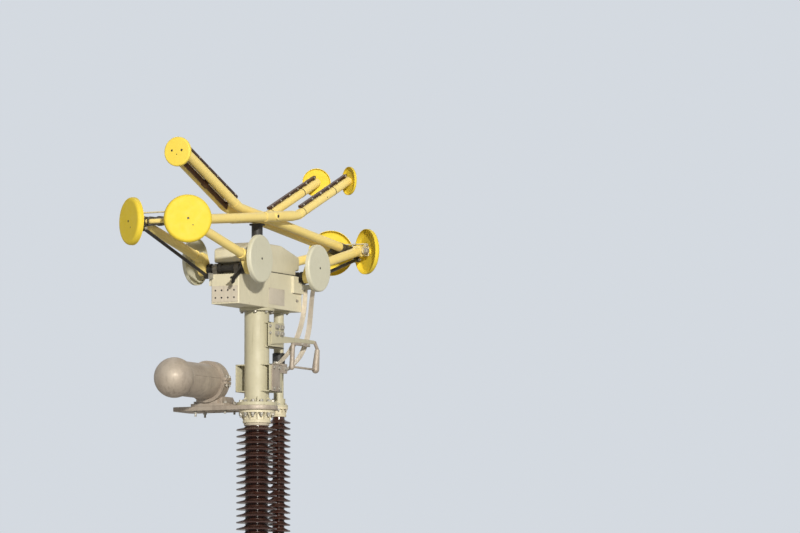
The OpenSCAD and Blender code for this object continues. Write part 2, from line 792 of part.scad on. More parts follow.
// One disc over both tips of the inner pair, on two bosses and a plate across the tube ends
module inner_tip_disc() color("#f2d13a") mirror([1, 0, 0]) {
    plate = 8;
    at_tip(0, 0) dished_disc(tip_disc_d, 22, 12);
    difference() {
        for (s = [-1, 1]) at_tip(0, 0) translate([0, s * 39, -60]) cylinder(h = 58, r = 13);
        along_contact(0) translate([contact_len - 200, -100, -100]) cube([200 + plate / 2, 200, 200]);
    }
    along_contact(0) translate([contact_len, 0, 0]) rotate([90, 0, 90])
        linear_extrude(plate) rounded_rect(2 * (inner_y + arm_r - 4), 52, 20);
}

// Ties between two arms, cut to the round of the tubes
module between_arms(y, r) {
    difference() {
        children();
        for (s = [-1, 1]) along_contact(s * y) x_round(-100, contact_len + 10, r + gap);
    }
}

module outer_cross_link() color("#8f9488") between_arms(outer_y, arm_r)
    along_contact(0) translate([100, -outer_y, -22]) cube([34, 2 * outer_y, 10]);

module inner_cross_tube() color("#4a4a46") difference() {
    y_round(0, 0, crossing_z, 2 * inner_y, 14);
    mirror([1, 0, 0]) for (s = [-1, 1]) along_arm(s * inner_y)
        x_round(upper_len - 71, upper_len + 71, sleeve_r + gap);
}

// Flat rail between the inner contact sections, on three cross rods
module inner_centre_rail() color("#5d3a24") mirror([1, 0, 0]) {
    along_contact(0) translate([70, -4, -52]) cube([contact_len - 96, 8, 38]);
    along_contact(0) translate([contact_len / 2 - 30, -12, -54]) cube([60, 24, 42]);
    between_arms(inner_y, arm_r) along_contact(0)
        for (x = [110, contact_len / 2, contact_len - 60]) y_round(x, 0, -19, 2 * inner_y, 8);
}

module left_elbow_bracket() color("#b7a15a") mirror([1, 0, 0]) elbow_bracket(left_arm_y, left_rod_y);

module right_elbow_bracket() color("#b7a15a") elbow_bracket(right_elbow_y, right_rod_y);

module left_elbow_discs() color("#f2d13a") mirror([1, 0, 0]) elbow_discs(left_arm_y);

module right_elbow_discs() color("#f2d13a") elbow_discs(right_elbow_y);

module left_guide_rod() color("#3d3428") mirror([1, 0, 0]) guide_rod(left_rod_y);

module right_guide_rod() color("#3d3428") guide_rod(right_rod_y);

base_plate();
support_column();
base_frame();
post_base_flange();
lower_post_insulator();
post_middle_flanges();
upper_post_insulator();
post_top_cap();
terminal_plate();
head_column();
gear_housing();
housing_hood();
end_cover();
shaft_bearings();
guide_pivots();
rest_post();
guide_bracket();
guard_loop();
strap_terminal();
strap_clamps();
flexible_straps();
bus_tube_end();
bus_clamp();
drive_box();
drive_box_door();
rotary_bearing();
drive_tube();
lower_rotary_insulator();
rotary_couplings();
upper_rotary_insulator();
head_drive_shaft();
left_hinge_shaft();
left_lower_arms();
left_hinge_discs();
right_hinge_shaft();
right_lower_arms();
right_hinge_discs();
outer_arms();
outer_arm_forks();
outer_contact_bars();
outer_tip_discs();
outer_cross_link();
inner_arms();
inner_arm_forks();
inner_contact_bars();
inner_tip_disc();
inner_cross_tube();
inner_centre_rail();
left_elbow_bracket();
left_elbow_discs();
right_elbow_bracket();
right_elbow_discs();
left_guide_rod();
right_guide_rod();
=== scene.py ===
import json
import math

import bpy
from mathutils import Matrix, Quaternion, Vector


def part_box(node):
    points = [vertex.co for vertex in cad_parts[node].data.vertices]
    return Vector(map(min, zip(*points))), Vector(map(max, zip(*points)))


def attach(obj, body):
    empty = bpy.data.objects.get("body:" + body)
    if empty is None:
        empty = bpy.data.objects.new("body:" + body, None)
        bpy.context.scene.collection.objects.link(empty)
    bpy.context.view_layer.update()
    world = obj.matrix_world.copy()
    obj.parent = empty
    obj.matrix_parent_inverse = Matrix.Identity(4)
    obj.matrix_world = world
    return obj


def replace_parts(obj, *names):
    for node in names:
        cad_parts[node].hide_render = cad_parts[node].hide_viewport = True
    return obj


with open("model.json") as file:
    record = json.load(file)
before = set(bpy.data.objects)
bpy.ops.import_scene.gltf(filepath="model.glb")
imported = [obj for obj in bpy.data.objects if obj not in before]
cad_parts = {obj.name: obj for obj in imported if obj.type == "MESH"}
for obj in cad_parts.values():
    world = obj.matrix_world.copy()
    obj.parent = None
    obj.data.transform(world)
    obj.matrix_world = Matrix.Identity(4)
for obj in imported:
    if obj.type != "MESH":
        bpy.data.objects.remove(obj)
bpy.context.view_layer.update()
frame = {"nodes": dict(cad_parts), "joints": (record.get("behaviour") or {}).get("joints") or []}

# The view: far off and low, nearly along the line of the arms, through a long lens that looks a
# few degrees up at them.
photo_width_px, focal_px, below_horizon_px = 800, 5850, 512.5
look_turn, look_tilt = math.radians(27), math.atan2(below_horizon_px, focal_px)
look = Vector((math.cos(look_turn) * math.cos(look_tilt), math.sin(look_turn) * math.cos(look_tilt),
               math.sin(look_tilt)))
bpy.ops.object.select_all(action="DESELECT")
bpy.ops.object.camera_add(location=(-36.637, -19.814, 1.991))
camera = bpy.context.object
camera.rotation_mode = "QUATERNION"
camera.rotation_quaternion = look.to_track_quat("-Z", "Y")
camera.data.sensor_width = 36
camera.data.lens = camera.data.sensor_width * focal_px / photo_width_px
camera.data.clip_end = 500
bpy.context.scene.camera = camera
bpy.context.scene.view_settings.view_transform = "Standard"


# The studio: a warm key light from low behind the camera, a soft fill from above, an even pale
# surround, and a pale floor that can be looked through from below.
def add_light(toward, strength, spread, colour):
    """Sun that stands in a direction, with its spread in degrees."""
    bpy.ops.object.light_add(type="SUN", location=toward)
    lamp = bpy.context.object
    lamp.rotation_euler = Vector(toward).to_track_quat("Z", "Y").to_euler()
    lamp.data.energy = strength
    lamp.data.angle = math.radians(spread)
    lamp.data.color = colour


add_light((-0.779, -0.611, 0.22), 3.4, 3, (1.0, 0.955, 0.87))
add_light((0.45, 0.25, 1.0), 0.60, 40, (1.0, 0.96, 0.90))

world = bpy.data.worlds.new("studio")
bpy.context.scene.world = world
world.use_nodes = True
air = world.node_tree
surround = air.nodes["Background"]
surround.inputs["Color"].default_value = (1.0, 0.93, 0.82, 1)
surround.inputs["Strength"].default_value = 0.15
backdrop = air.nodes.new("ShaderNodeBackground")
backdrop.inputs["Color"].default_value = (0.66, 0.70, 0.75, 1)
backdrop.inputs["Strength"].default_value = 1.0
ray = air.nodes.new("ShaderNodeLightPath")
seen = air.nodes.new("ShaderNodeMath")
seen.operation = "MAXIMUM"
seen_through = air.nodes.new("ShaderNodeMath")
seen_through.operation = "MAXIMUM"
lit_or_seen = air.nodes.new("ShaderNodeMixShader")
air.links.new(ray.outputs["Is Camera Ray"], seen.inputs[0])
air.links.new(ray.outputs["Is Glossy Ray"], seen.inputs[1])
air.links.new(seen.outputs[0], seen_through.inputs[0])
air.links.new(ray.outputs["Is Transmission Ray"], seen_through.inputs[1])
air.links.new(seen_through.outputs[0], lit_or_seen.inputs["Fac"])
air.links.new(surround.outputs[0], lit_or_seen.inputs[1])
air.links.new(backdrop.outputs[0], lit_or_seen.inputs[2])
air.links.new(lit_or_seen.outputs[0], air.nodes["World Output"].inputs["Surface"])

bpy.ops.mesh.primitive_circle_add(vertices=96, radius=220, fill_type="NGON")
floor = bpy.context.object
floor.name = "floor"
floor_look = bpy.data.materials.new("floor_grey")
floor_look.use_nodes = True
ground = floor_look.node_tree
top_face = ground.nodes["Principled BSDF"]
top_face.inputs["Base Color"].default_value = (0.80, 0.80, 0.80, 1)
top_face.inputs["Roughness"].default_value = 0.9
top_face.inputs["Emission Color"].default_value = (0.97, 0.98, 1.0, 1)
sight = ground.nodes.new("ShaderNodeLightPath")
paler = ground.nodes.new("ShaderNodeMath")
paler.operation = "MULTIPLY"
paler.inputs[1].default_value = 0.2
ground.links.new(sight.outputs["Is Camera Ray"], paler.inputs[0])
ground.links.new(paler.outputs[0], top_face.inputs["Emission Strength"])
side_seen = ground.nodes.new("ShaderNodeNewGeometry")
under_face = ground.nodes.new("ShaderNodeBsdfTransparent")
both_faces = ground.nodes.new("ShaderNodeMixShader")
ground.links.new(side_seen.outputs["Backfacing"], both_faces.inputs["Fac"])
ground.links.new(top_face.outputs[0], both_faces.inputs[1])
ground.links.new(under_face.outputs[0], both_faces.inputs[2])
ground.links.new(both_faces.outputs[0], ground.nodes["Material Output"].inputs["Surface"])
floor.data.materials.append(floor_look)


# Stand: a base plate on anchor bolts, an H section column and the frame that carries both
# insulators. Welded steel under sage grey paint, dusty on top, chipped and rusting at edges.
def place_of(tree, stretch=(1, 1, 1), shift=(0, 0, 0)):
    """Object coordinates in metres, drawn out along an axis whose stretch is small."""
    where = tree.nodes.new("ShaderNodeTexCoord")
    mapping = tree.nodes.new("ShaderNodeMapping")
    mapping.inputs["Scale"].default_value = stretch
    mapping.inputs["Location"].default_value = shift
    tree.links.new(where.outputs["Object"], mapping.inputs["Vector"])
    return mapping.outputs["Vector"]


def cloud(tree, scale, detail=4.0, rough=0.6, stretch=(1, 1, 1), shift=(0, 0, 0)):
    """Cloudy noise from 0 to 1, with scale patches to a metre."""
    place = place_of(tree, stretch, shift)
    node = tree.nodes.new("ShaderNodeTexNoise")
    tree.links.new(place, node.inputs["Vector"])
    node.inputs["Scale"].default_value = scale
    node.inputs["Detail"].default_value = detail
    node.inputs["Roughness"].default_value = rough
    return node.outputs["Fac"]


def spread_out(tree, value, low, high, least=0.0, most=1.0):
    """Stretches the part of a value between low and high over least to most."""
    node = tree.nodes.new("ShaderNodeMapRange")
    tree.links.new(value, node.inputs["Value"])
    node.inputs["From Min"].default_value = low
    node.inputs["From Max"].default_value = high
    node.inputs["To Min"].default_value = least
    node.inputs["To Max"].default_value = most
    return node.outputs["Result"]


def sums(tree, kind, first, second):
    """Adds or multiplies two values, kept between 0 and 1."""
    node = tree.nodes.new("ShaderNodeMath")
    node.operation = kind
    node.use_clamp = True
    for socket, value in zip(node.inputs, (first, second)):
        tree.links.new(value, socket)
    return node.outputs[0]


def over(tree, amount, under, top):
    """Lays one colour over another by an amount."""
    node = tree.nodes.new("ShaderNodeMix")
    node.data_type = "RGBA"
    tree.links.new(amount, node.inputs["Factor"])
    for socket, value in zip(node.inputs[6:8], (under, top)):
        if isinstance(value, bpy.types.NodeSocket):
            tree.links.new(value, socket)
        else:
            socket.default_value = (*value, 1)
    return node.outputs[2]


def facing(tree, axis):
    """How far a face looks along an axis of the piece, from -1 to 1."""
    where = tree.nodes.new("ShaderNodeTexCoord")
    parts = tree.nodes.new("ShaderNodeSeparateXYZ")
    tree.links.new(where.outputs["Normal"], parts.inputs[0])
    return parts.outputs[axis]


def sharp_edges(tree, reach):
    """1 along edges and corners nearer than reach, 0 on open faces."""
    rounded = tree.nodes.new("ShaderNodeBevel")
    rounded.samples = 4
    rounded.inputs["Radius"].default_value = reach
    face = tree.nodes.new("ShaderNodeNewGeometry")
    turn = tree.nodes.new("ShaderNodeVectorMath")
    turn.operation = "DOT_PRODUCT"
    tree.links.new(rounded.outputs["Normal"], turn.inputs[0])
    tree.links.new(face.outputs["Normal"], turn.inputs[1])
    return spread_out(tree, turn.outputs["Value"], 0.99, 0.80)


def new_finish(name, rough, metal=0.0):
    """New material with its node tree and its surface shader."""
    material = bpy.data.materials.new(name)
    material.use_nodes = True
    tree = material.node_tree
    shader = tree.nodes["Principled BSDF"]
    shader.inputs["Roughness"].default_value = rough
    shader.inputs["Metallic"].default_value = metal
    return material, tree, shader


def raise_grain(tree, shader, height, distance, strength):
    """Gives a surface the relief of a value, over a distance in metres."""
    node = tree.nodes.new("ShaderNodeBump")
    node.inputs["Strength"].default_value = strength
    node.inputs["Distance"].default_value = distance
    tree.links.new(height, node.inputs["Height"])
    tree.links.new(node.outputs["Normal"], shader.inputs["Normal"])


def paint(name, colour, faded, grime, rough, dust=0.35, chips=0.6, bare=(0.10, 0.055, 0.03),
          streaks=0.5, gloss=0.5):
    """Old outdoor paint: fading in patches, rain streaks, dust on top, chips along the edges, and
    painted shade on faces that look down.
    """
    material, tree, shader = new_finish(name, rough)
    patches = spread_out(tree, cloud(tree, 3.2, 6, 0.62), 0.36, 0.64)
    tone = over(tree, patches, colour, faded)
    mottle = spread_out(tree, cloud(tree, 38, 5, 0.7), 0.50, 0.78, 0.0, 0.35)
    tone = over(tree, mottle, tone, tuple(0.82 * part for part in colour))
    runs = spread_out(tree, cloud(tree, 34, 5, 0.65, (1, 1, 0.07)), 0.55, 0.78, 0.0, streaks)
    where = spread_out(tree, cloud(tree, 2.3, 3, 0.5, shift=(3, 1, 2)), 0.45, 0.62)
    tone = over(tree, sums(tree, "MULTIPLY", runs, where), tone, grime)
    top = spread_out(tree, facing(tree, "Z"), 0.35, 0.95, 0.0, dust)
    film = spread_out(tree, cloud(tree, 14, 5, 0.65, shift=(1, 5, 2)), 0.32, 0.66)
    tone = over(tree, sums(tree, "MULTIPLY", top, film), tone, (0.33, 0.29, 0.22))
    # Painted shade: faces that look down are darkened towards a darker tone of the paint's own colour.
    underside_shade = spread_out(tree, facing(tree, "Z"), -0.25, -0.95, 0.0, 0.45)
    tone = over(tree, underside_shade, tone, tuple(0.55 * part for part in colour))
    flakes = spread_out(tree, cloud(tree, 95, 6, 0.72), 0.54, 0.60, 0.0, chips)
    lost = sums(tree, "MULTIPLY", flakes, sharp_edges(tree, 0.006))
    tone = over(tree, lost, tone, bare)
    tree.links.new(tone, shader.inputs["Base Color"])
    sheen = spread_out(tree, cloud(tree, 22, 4, 0.6, shift=(2, 2, 9)), 0.3, 0.7, rough - 0.09,
                       rough + 0.13)
    tree.links.new(sheen, shader.inputs["Roughness"])
    shader.inputs["Specular IOR Level"].default_value = gloss
    skin = sums(tree, "ADD", spread_out(tree, cloud(tree, 420, 2, 0.5), 0.3, 0.7, 0.0, 0.5),
                spread_out(tree, lost, 0.0, 1.0, 0.5, 0.0))
    raise_grain(tree, shader, skin, 0.0006, 0.35)
    return material


def coat(material, *names):
    """Gives nodes of the frame their finish."""
    for name in names:
        for place in frame["nodes"][name].material_slots:
            place.material = material


def bare_metal(name, colour, darker, rough, metal, runs=0.6, grain=160, pits=0.0012):
    """Unpainted metal: dull in patches, specked, grimy runs low down, lighter at edges, partly rubbed
    bright and partly a painted highlight.
    """
    material, tree, shader = new_finish(name, rough, metal)
    tone = over(tree, spread_out(tree, cloud(tree, 6, 6, 0.66), 0.34, 0.66), colour, darker)
    specks = spread_out(tree, cloud(tree, 70, 5, 0.75), 0.52, 0.8, 0.0, 0.4)
    tone = over(tree, specks, tone, tuple(0.5 * part for part in darker))
    run = spread_out(tree, cloud(tree, 28, 5, 0.7, (1, 1, 0.08)), 0.5, 0.75, 0.0, runs)
    low = spread_out(tree, facing(tree, "Z"), 0.3, -0.8, 0.25, 1.0)
    tone = over(tree, sums(tree, "MULTIPLY", run, low), tone, (0.05, 0.04, 0.032))
    # Lighter edges: partly rubbed bright by wear, partly a painted highlight along the edges.
    rubbed_and_highlit_edges = sums(tree, "MULTIPLY", sharp_edges(tree, 0.003),
                spread_out(tree, cloud(tree, 50, 4, 0.6), 0.35, 0.6, 0.0, 0.7))
    tone = over(tree, rubbed_and_highlit_edges, tone, tuple(min(1.35 * part + 0.02, 1) for part in colour))
    tree.links.new(tone, shader.inputs["Base Color"])
    sheen = spread_out(tree, cloud(tree, 30, 5, 0.65), 0.3, 0.7, rough - 0.1, rough + 0.15)
    tree.links.new(sheen, shader.inputs["Roughness"])
    raise_grain(tree, shader, cloud(tree, grain, 4, 0.65), pits, 0.35)
    return material


def only(*pieces):
    """Leaves just these pieces selected, with the last one active."""
    bpy.ops.object.select_all(action="DESELECT")
    for piece in pieces:
        piece.select_set(True)
    bpy.context.view_layer.objects.active = pieces[-1]


def pick_faces(piece, wanted):
    """Opens a piece for editing with the faces picked whose centre and normal fit."""
    only(piece)
    bpy.ops.object.mode_set(mode="EDIT")
    bpy.ops.mesh.select_mode(type="FACE")
    bpy.ops.mesh.select_all(action="DESELECT")
    bpy.ops.object.mode_set(mode="OBJECT")
    for face in piece.data.polygons:
        face.select = wanted(face.center, face.normal)
    bpy.ops.object.mode_set(mode="EDIT")


def settle(name, pieces, body, material, smooth=35):
    """Joins pieces into one with its place in its mesh, and ties it to its body."""
    only(*pieces)
    if len(pieces) > 1:
        bpy.ops.object.join()
    piece = bpy.context.object
    bpy.ops.object.transform_apply(location=True, rotation=True, scale=True)
    bpy.ops.object.shade_smooth_by_angle(angle=math.radians(smooth))
    piece.name = piece.data.name = name
    piece.data.materials.clear()
    piece.data.materials.append(material)
    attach(piece, body)
    return piece


def round_bar(start, end, radius, sides=16, soft=0.2):
    """Round bar from one point to another, with softened ends."""
    start, end = Vector(start), Vector(end)
    bpy.ops.object.select_all(action="DESELECT")
    bpy.ops.mesh.primitive_cylinder_add(vertices=sides, radius=radius, depth=(end - start).length,
                                        location=(start + end) / 2)
    piece = bpy.context.object
    piece.rotation_euler = (end - start).to_track_quat("Z", "Y").to_euler()
    pick_faces(piece, lambda place, normal: abs(normal.z) > 0.9)
    bpy.ops.mesh.bevel(offset=soft * radius, segments=2, affect="EDGES")
    bpy.ops.object.mode_set(mode="OBJECT")
    return piece


def soften(piece, width, segments=2):
    """Rounds a piece's sharp edges over, and leaves the shallow ones of its curves."""
    only(piece)
    edge = piece.modifiers.new("edge", "BEVEL")
    edge.width = width
    edge.segments = segments
    edge.limit_method = "ANGLE"
    bpy.ops.object.modifier_apply(modifier=edge.name)


def plate(size, place, soft, turn=(0, 0, 0)):
    """Flat plate or block with softened edges."""
    bpy.ops.object.select_all(action="DESELECT")
    bpy.ops.mesh.primitive_cube_add(size=1, location=place, rotation=turn, scale=size)
    piece = bpy.context.object
    bpy.ops.object.transform_apply(location=False, rotation=False, scale=True)
    soften(piece, soft)
    return piece


def hex_bolt(across, stud):
    """Hexagon head on its washer, facing +Z at the origin, with a stud end where it is a nut."""
    washer, height = 0.12 * across, 0.62 * across
    parts = [round_bar((0, 0, 0), (0, 0, washer), 0.64 * across, soft=0.06)]
    bpy.ops.object.select_all(action="DESELECT")
    bpy.ops.mesh.primitive_cylinder_add(vertices=6, radius=across / math.sqrt(3), depth=height,
                                        location=(0, 0, washer + height / 2))
    head = bpy.context.object
    pick_faces(head, lambda place, normal: normal.z > 0.9)
    bpy.ops.mesh.bevel(offset=0.08 * across, segments=1, affect="EDGES")
    bpy.ops.object.mode_set(mode="OBJECT")
    parts.append(head)
    if stud:
        parts.append(round_bar((0, 0, height), (0, 0, washer + height + stud), 0.33 * across, 12))
    only(*parts)
    bpy.ops.object.join()
    bpy.ops.object.transform_apply(location=True, rotation=True, scale=True)
    return bpy.context.object


def copies_at(pattern, seats):
    """Copies a pattern to every seat, a point and the way it faces, and clears it away."""
    made = []
    for number, (point, way) in enumerate(seats):
        one = pattern.copy()
        one.data = pattern.data.copy()
        bpy.context.collection.objects.link(one)
        turn = Vector(way).to_track_quat("Z", "Y") @ Quaternion((0, 0, 1), math.radians(37 * number))
        one.matrix_world = Matrix.LocRotScale(Vector(point), turn, None)
        made.append(one)
    bpy.data.objects.remove(pattern)
    return made


def fasten(name, seats, across, body="stand", stud=0.0):
    """Hexagon bolts or nuts on a row of seats, as one piece."""
    settle(name, copies_at(hex_bolt(across, stud), seats), body, bolt_zinc)


sage_paint = paint("sage_grey_paint", (0.48, 0.45, 0.315), (0.54, 0.51, 0.37), (0.16, 0.125, 0.08),
                   0.52)
coat(sage_paint, "base_plate", "support_column", "base_frame")

up, down = (0, 0, 1), (0, 0, -1)
bolt_zinc = bare_metal("bolt_zinc", (0.50, 0.485, 0.44), (0.31, 0.285, 0.24), 0.52, 0.45, 0.35, 260,
                       0.0006)
corners = [(x, y) for x in (-1, 1) for y in (-1, 1)]
anchor_reach, base_plate_top = 0.21, 0.025
fasten("anchor_nuts", [((anchor_reach * x, anchor_reach * y, base_plate_top), up) for x, y in corners],
       0.041, stud=0.035)
column_head_low = 2.170
fasten("column_head_bolts", [((0.15 * x, 0.08 * y, column_head_low), down) for x, y in corners],
       0.024, stud=0.012)
lug_x, lug_z, column_face = 0.06, 0.32, -0.120
earth_lug = [plate((0.05, 0.006, 0.09), (lug_x, column_face - 0.0025, lug_z), 0.001),
             round_bar((lug_x, column_face, lug_z + 0.025),
                       (lug_x, column_face - 0.020, lug_z + 0.025), 0.008)]
settle("earth_lug", earth_lug, "stand", bolt_zinc)

# Drive box on the column: folded sheet steel in the stand's paint. The door hangs on three
# hinges and has a turn handle, a row of pressed louvres and a bare data plate.
coat(sage_paint, "drive_box", "drive_box_door")
door_x, door_y, door_z = 0.340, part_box("drive_box_door")[0][1], 1.21
hinge_x, hinge_y, handle_x = 0.177, door_y - 0.0045, 0.470
hinge_heights = [door_z + step for step in (-0.21, 0, 0.21)]
fittings = [round_bar((hinge_x, hinge_y, z - 0.035), (hinge_x, hinge_y, z + 0.035), 0.0085)
            for z in hinge_heights]
fittings += [plate((0.044, 0.004, 0.05), (hinge_x + 0.022, door_y - 0.0015, z), 0.0012)
             for z in hinge_heights]
fittings += [round_bar((handle_x, door_y + 0.001, door_z), (handle_x, door_y - 0.008, door_z), 0.024),
             round_bar((handle_x, door_y - 0.007, door_z), (handle_x, door_y - 0.026, door_z), 0.010),
             plate((0.022, 0.014, 0.125), (handle_x, door_y - 0.030, door_z - 0.025), 0.005)]
settle("drive_box_fittings", fittings, "stand", bolt_zinc)
lowest_louvre, louvre_pitch, louvre_tilt = 1.00, 0.022, math.radians(-32)
louvres = [plate((0.17, 0.016, 0.007), (door_x, door_y - 0.004, lowest_louvre + louvre_pitch * row),
                 0.0025, (louvre_tilt, 0, 0)) for row in range(6)]
settle("drive_box_louvres", louvres, "stand", sage_paint)
settle("drive_box_plate", [plate((0.11, 0.002, 0.07), (door_x, door_y - 0.001, door_z + 0.16), 0.0006)],
       "stand", bolt_zinc)

# Post: two brown glazed porcelains with a film of dust on the upper faces of their sheds, set in
# cement in cream painted iron flanges, and bolted to each other and to the frame.
glaze, tree, shader = new_finish("brown_glaze", 0.2)
tone = over(tree, spread_out(tree, cloud(tree, 9, 5, 0.6), 0.35, 0.65), (0.034, 0.011, 0.008),
            (0.055, 0.018, 0.012))
dusty = sums(tree, "MULTIPLY", spread_out(tree, facing(tree, "Z"), 0.15, 0.9, 0.0, 0.30),
             spread_out(tree, cloud(tree, 24, 6, 0.7), 0.34, 0.72))
tone = over(tree, dusty, tone, (0.19, 0.155, 0.125))
tree.links.new(tone, shader.inputs["Base Color"])
tree.links.new(spread_out(tree, dusty, 0.0, 0.3, 0.19, 0.55), shader.inputs["Roughness"])
shader.inputs["Coat Weight"].default_value = 0.2
shader.inputs["Coat Roughness"].default_value = 0.12
raise_grain(tree, shader, cloud(tree, 60, 3, 0.5), 0.0005, 0.25)
coat(glaze, "lower_post_insulator", "upper_post_insulator")

cap_paint = paint("cream_cap_paint", (0.60, 0.54, 0.385), (0.68, 0.625, 0.46),
                  (0.17, 0.115, 0.065), 0.5, chips=0.8, streaks=0.65)
coat(cap_paint, "post_base_flange", "post_middle_flanges", "post_top_cap")


def hollow_ring(start, end, radius, wall, sides=64, soft=0.001):
    """Ring or sleeve between two points, with its wall inward from a radius."""
    start, end = Vector(start), Vector(end)
    bpy.ops.object.select_all(action="DESELECT")
    bpy.ops.mesh.primitive_cylinder_add(vertices=sides, radius=radius, depth=(end - start).length,
                                        end_fill_type="NOTHING", location=(start + end) / 2,
                                        rotation=(end - start).to_track_quat("Z", "Y").to_euler())
    piece = bpy.context.object
    shell = piece.modifiers.new("shell", "SOLIDIFY")
    shell.thickness = wall
    bpy.ops.object.modifier_apply(modifier=shell.name)
    soften(piece, soft, 1)
    bpy.ops.object.transform_apply(location=True, rotation=True, scale=True)
    return piece


cement, tree, shader = new_finish("cement", 0.85)
tone = over(tree, cloud(tree, 60, 5, 0.7), (0.55, 0.50, 0.40), (0.40, 0.35, 0.27))
tree.links.new(tone, shader.inputs["Base Color"])
raise_grain(tree, shader, cloud(tree, 240, 4, 0.7), 0.0012, 0.5)
cement_joints = []
for porcelain in ("lower_post_insulator", "upper_post_insulator"):
    foot, head = (corner[2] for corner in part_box(porcelain))
    cement_joints += [hollow_ring((0, 0, z), (0, 0, z + 0.022), 0.091, 0.0108, 72, 0.004)
                      for z in (foot - 0.002, head - 0.020)]
settle("cement_joints", cement_joints, "stand", cement)


def bolt_circle(count, start, radius, x, z, way):
    """Seats round a flange, from a start angle in degrees."""
    turns = [math.radians(start + 360 * step / count) for step in range(count)]
    return [((x + radius * math.cos(turn), radius * math.sin(turn), z), way) for turn in turns]


frame_top, cap_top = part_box("base_frame")[1][2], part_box("post_top_cap")[1][2]
middle_joint = sum(corner[2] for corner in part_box("post_middle_flanges")) / 2
flange_seat = 0.02024
fasten("post_flange_bolts", bolt_circle(8, 22.5, 0.119, 0, frame_top + flange_seat, up)
       + bolt_circle(8, 22.5, 0.119, 0, middle_joint + flange_seat, up), 0.024, stud=0.006)
fasten("post_flange_nuts", bolt_circle(8, 22.5, 0.119, 0, middle_joint - flange_seat, down)
       + bolt_circle(12, 15, 0.117, 0, cap_top - flange_seat, down), 0.024, stud=0.012)

# Turning insulator: slimmer porcelains between iron couplings on a bearing, turned from below by
# a zinc coated tube. Its painted shaft goes up through a rubber boot and a flange of the housing.
joint_at = {joint["name"]: Vector(joint["pos_m"]) for joint in frame["joints"]}
shaft_x = joint_at["insulator_turn"].x
coat(glaze, "lower_rotary_insulator", "upper_rotary_insulator")
coat(cap_paint, "rotary_couplings")
coat(sage_paint, "head_drive_shaft")
zinc = bare_metal("dull_zinc", (0.44, 0.435, 0.40), (0.30, 0.295, 0.27), 0.48, 0.55, 0.3)
coat(zinc, "rotary_bearing", "drive_tube")

fasten("rotary_bearing_bolts", bolt_circle(6, 0, 0.082, shaft_x, 2.326, up), 0.019)
bolt_rows = ((0.0665, 2.4554), (0.0665, 3.5604), (0.058, 4.664))
nut_rows = ((0.0665, 2.424), (0.0665, 3.5296), (0.061, 4.6346))
fasten("rotary_coupling_bolts", [seat for radius, z in bolt_rows
                                 for seat in bolt_circle(6, 30, radius, shaft_x, z, up)],
       0.015, "drive_insulator")
fasten("rotary_coupling_nuts", [seat for radius, z in nut_rows
                                for seat in bolt_circle(6, 30, radius, shaft_x, z, down)],
       0.013, "drive_insulator", 0.007)

flange_low, flange_top = 5.325, 5.339
flange = hollow_ring((shaft_x, 0, flange_low), (shaft_x, 0, flange_top), 0.077, 0.040, soft=0.002)
settle("shaft_flange", [flange], "stand", sage_paint)
fasten("shaft_flange_bolts", [((shaft_x + 0.044 * x, 0.044 * y, flange_low), down)
                              for x, y in corners], 0.013)

rubber, tree, shader = new_finish("black_rubber", 0.55)
tone = over(tree, spread_out(tree, cloud(tree, 18, 5, 0.6), 0.4, 0.7), (0.012, 0.012, 0.012),
            (0.035, 0.033, 0.03))
tree.links.new(tone, shader.inputs["Base Color"])
raise_grain(tree, shader, cloud(tree, 300, 3, 0.6), 0.0006, 0.4)
boot = hollow_ring((shaft_x, 0, 4.952), (shaft_x, 0, 5.038), 0.045, 0.0085, soft=0.003)
settle("shaft_boot", [boot], "drive_insulator", rubber)


# Terminal plate: a cast aluminium palm between the post and the neck, dulled brown grey by
# weather. It has a round end, two pockets in its underside and four holes in its free end.
def cut_plate(outline, near, far, soft=0.001):
    """Flat plate cut to an outline of x and z, from one side position to another."""
    bpy.ops.object.select_all(action="DESELECT")
    bpy.ops.mesh.primitive_circle_add(vertices=len(outline), fill_type="NGON")
    piece = bpy.context.object
    for corner, (x, z) in zip(piece.data.vertices, outline):
        corner.co = (x, near, z)
    bpy.ops.object.mode_set(mode="EDIT")
    bpy.ops.mesh.select_all(action="SELECT")
    bpy.ops.mesh.extrude_region_move(TRANSFORM_OT_translate={"value": (0, far - near, 0)})
    bpy.ops.mesh.select_all(action="SELECT")
    bpy.ops.mesh.normals_make_consistent(inside=False)
    bpy.ops.object.mode_set(mode="OBJECT")
    if soft:
        soften(piece, soft)
    return piece


aluminium = bare_metal("weathered_aluminium", (0.47, 0.41, 0.34), (0.34, 0.285, 0.235), 0.55, 0.3)
palm_low, palm_top, palm_half = cap_top, 4.640, 0.150
bend = [math.radians(turn) for turn in range(0, 181, 9)]
free_end = [(-palm_half, 0.577), (-0.138, 0.605), (-0.110, 0.617), (0.110, 0.617), (0.138, 0.605),
            (palm_half, 0.577)]
outline = [(palm_half * math.cos(turn), -palm_half * math.sin(turn)) for turn in bend] + free_end
palm = cut_plate(outline, -palm_top, -palm_low, 0)
palm.rotation_euler = (-math.pi / 2, 0, 0)
only(palm)
bpy.ops.object.transform_apply(location=True, rotation=True, scale=True)
recesses = [plate((0.116, 0.243, 0.034), (side * 0.072, 0.2935, palm_low - 0.001), 0.006)
            for side in (-1, 1)]
recesses += [round_bar((side * 0.100, y, palm_low - 0.01), (side * 0.100, y, palm_top + 0.01), 0.009,
                       24, 0) for side in (-1, 1) for y in (0.470, 0.570)]
for recess in recesses:
    cut = palm.modifiers.new("cut", "BOOLEAN")
    cut.operation = "DIFFERENCE"
    cut.object = recess
    only(palm)
    bpy.ops.object.modifier_apply(modifier=cut.name)
    bpy.data.objects.remove(recess)
soften(palm, 0.0015)
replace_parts(settle("terminal_palm", [palm], "stand", aluminium), "terminal_plate")


